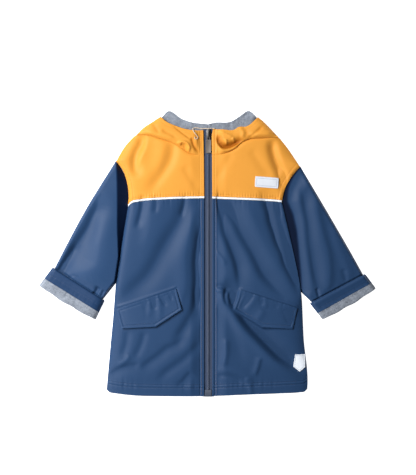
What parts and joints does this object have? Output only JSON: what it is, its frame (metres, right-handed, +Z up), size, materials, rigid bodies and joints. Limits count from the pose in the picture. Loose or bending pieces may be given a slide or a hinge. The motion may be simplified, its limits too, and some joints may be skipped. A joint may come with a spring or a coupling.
{
  "type": "kids raincoat",
  "caption": "Child's hooded raincoat lying flat, zipped up, with a contrast yoke and hood, pocket flaps and turned-up lined sleeves.",
  "frame": {"origin": "on the surface that the coat lies on, under the middle of its outline", "axes": "+X to the wearer's left, +Y from hem to hood, +Z up out of the front"},
  "size_m": [0.638, 0.5434, 0.0143],
  "materials": {
    "navy_cloth": "navy coated cloth with a soft satin sheen",
    "orange_cloth": "light orange coated cloth with a soft satin sheen",
    "grey_jersey": "brushed grey melange jersey",
    "piping_white": "white cord piping",
    "zip_tape": "navy woven tape",
    "zip_coil": "dark blue-grey coil",
    "zip_box": "grey moulded plastic",
    "zip_metal": "dark gunmetal",
    "tab_metal": "warm grey lacquered metal",
    "label_silver": "bare silver-white cloth",
    "patch_grey": "bare light grey cloth",
    "cord_beige": "twisted beige cord"
  },
  "bodies": {
    "coat": {"back_body": "navy_cloth", "back_yoke": "orange_cloth", "front_body_right": "navy_cloth", "front_body_left": "navy_cloth", "front_yoke_right": "orange_cloth", "front_yoke_left": "orange_cloth", "piping_right": "piping_white", "piping_left": "piping_white", "sleeve_right": "navy_cloth", "sleeve_left": "navy_cloth", "cuff_facing_right": "navy_cloth", "cuff_facing_left": "navy_cloth", "cuff_lining_right": "grey_jersey", "cuff_lining_left": "grey_jersey", "hood_right": "orange_cloth", "hood_left": "orange_cloth", "hood_lining_right": "grey_jersey", "hood_lining_left": "grey_jersey", "hood_fold": "grey_jersey", "zip_tape_right": "zip_tape", "zip_tape_left": "zip_tape", "zip_chain": "zip_coil", "zip_box": "zip_box", "zip_slider": "zip_metal", "pocket_flap_right": "navy_cloth", "pocket_flap_left": "navy_cloth", "chest_label": "label_silver", "hem_patch": "patch_grey", "neck_cord": "cord_beige"},
    "pull_tab": {"zip_pull_tab": "tab_metal"}
  },
  "joints": [
    {"name": "pull_tab_swing", "type": "hinge", "parent": "coat", "child": "pull_tab", "pos_m": [0, 0.2214, 0.01208], "axis": [-1, 0, 0], "range_deg": [0, 160]}
  ]
}
